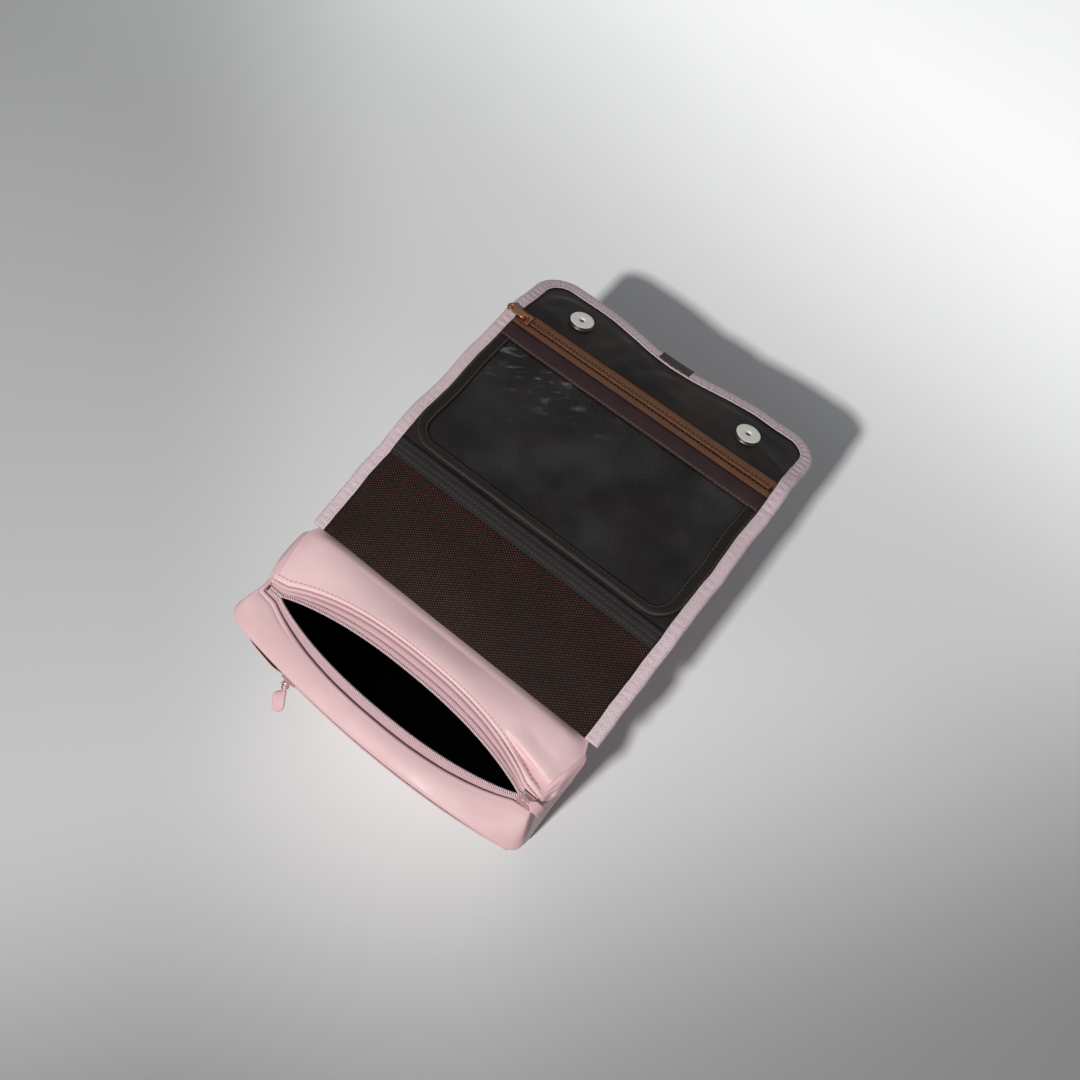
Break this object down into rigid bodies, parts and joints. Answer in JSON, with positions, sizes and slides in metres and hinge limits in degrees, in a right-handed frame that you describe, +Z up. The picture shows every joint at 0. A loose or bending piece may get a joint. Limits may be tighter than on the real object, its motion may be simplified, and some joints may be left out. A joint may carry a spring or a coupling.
{
  "type": "hanging wash bag",
  "caption": "Upright zip travel pouch in pink synthetic leather with a fold-out flap carrying a mesh pocket, a clear zip window pocket, magnetic snaps and a webbing tab",
  "frame": {"origin": "middle of the pouch base on the floor", "axes": "+X right seen from the front, +Y back toward the flap, +Z up"},
  "size_m": [0.2396, 0.3685, 0.1961],
  "materials": {
    "pink_leather": "soft grained synthetic leather, low sheen",
    "edge_binding": "ribbed grosgrain tape",
    "dark_lining": "satin nylon",
    "mesh": "fine net",
    "pink_zip": "woven zip tape and nylon coil",
    "pink_metal": "painted slider",
    "pink_tab": "soft moulded tab",
    "copper_zip": "woven zip tape and nylon coil",
    "copper_metal": "copper coloured slider",
    "nickel": "polished nickel",
    "clear_window": "clear soft vinyl",
    "base_board": "hidden stiffener",
    "dark_webbing": "woven tape"
  },
  "bodies": {
    "pouch": {"bottom_panel": "pink_leather", "base_board": "base_board", "back_panel": "pink_leather", "front_panel": "pink_leather", "left_gusset": "pink_leather", "right_gusset": "pink_leather", "top_back_strip": "pink_leather", "top_front_strip": "pink_leather", "pouch_lining": "dark_lining", "main_zip_tape_back": "pink_zip", "main_zip_tape_front": "pink_zip", "main_zip_teeth_back": "pink_zip", "main_zip_teeth_front": "pink_zip", "main_zip_end_left": "pink_zip", "main_zip_end_right": "pink_zip", "front_pocket_panel": "pink_leather", "front_top_band": "pink_leather", "pocket_zip_tape_lower": "pink_zip", "pocket_zip_tape_upper": "pink_zip", "pocket_zip_coil": "pink_zip", "snap_socket_left": "nickel", "snap_socket_right": "nickel", "flap_fold_strip": "dark_lining"},
    "flap_root": {"root_outer": "pink_leather", "root_lining": "dark_lining", "mesh_pocket": "mesh", "mesh_hem": "mesh", "root_binding_left": "edge_binding", "root_binding_right": "edge_binding"},
    "flap_mid": {"mid_outer": "pink_leather", "mid_lining": "dark_lining", "window_sheet": "clear_window", "window_binding": "dark_webbing", "window_header": "dark_webbing", "window_zip_tape_lower": "copper_zip", "window_zip_tape_upper": "copper_zip", "window_zip_coil": "copper_zip", "mid_binding_left": "edge_binding", "mid_binding_right": "edge_binding"},
    "flap_tip": {"tip_outer": "pink_leather", "tip_lining": "dark_lining", "tip_binding": "edge_binding", "hanger_tab": "dark_webbing", "snap_cap_left": "nickel", "snap_cap_right": "nickel"},
    "main_slider": {"main_slider": "pink_metal"},
    "main_puller": {"main_puller": "pink_tab"},
    "window_slider": {"window_slider": "copper_metal"},
    "window_puller": {"window_puller": "copper_metal"},
    "pocket_slider": {"pocket_slider": "pink_metal"},
    "pocket_puller": {"pocket_puller": "pink_tab"}
  },
  "joints": [
    {"name": "flap_hinge", "type": "hinge", "parent": "pouch", "child": "flap_root", "pos_m": [0, 0.0395, 0.19], "axis": [1, 0, 0], "range_deg": [-28, 173], "deforming": ["flap_fold_strip"]},
    {"name": "flap_crease", "type": "hinge", "parent": "flap_root", "child": "flap_mid", "pos_m": [0, 0.12509, 0.19567], "axis": [1, 0, 0], "range_deg": [0, 99]},
    {"name": "flap_tip_bend", "type": "hinge", "parent": "flap_mid", "child": "flap_tip", "pos_m": [0, 0.25516, 0.19113], "axis": [1, 0, 0], "range_deg": [0, 21]},
    {"name": "main_zip", "type": "slide", "parent": "pouch", "child": "main_slider", "axis": [1, 0, 0], "range_m": [-0.208, 0]},
    {"name": "main_puller_swing", "type": "hinge", "parent": "main_slider", "child": "main_puller", "pos_m": [0.104, -0.0085, 0.1919], "axis": [0, 1, 0], "range_deg": [-170, 0]},
    {"name": "window_zip", "type": "slide", "parent": "flap_mid", "child": "window_slider", "axis": [1, 0, 0], "range_m": [0, 0.2]},
    {"name": "window_puller_swing", "type": "hinge", "parent": "window_slider", "child": "window_puller", "pos_m": [-0.101, 0.24682, 0.19442], "axis": [0, -0.9994, 0.0349], "range_deg": [-150, 0]},
    {"name": "pocket_zip", "type": "hinge", "parent": "pouch", "child": "pocket_slider", "pos_m": [0, 0.73306, 0.172], "axis": [0, 0, -1], "range_deg": [-11.8, 2.8]},
    {"name": "pocket_puller_swing", "type": "hinge", "parent": "pocket_slider", "child": "pocket_puller", "pos_m": [-0.06143, -0.04799, 0.172], "axis": [0, 0, 1], "range_deg": [-110, 52]}
  ]
}
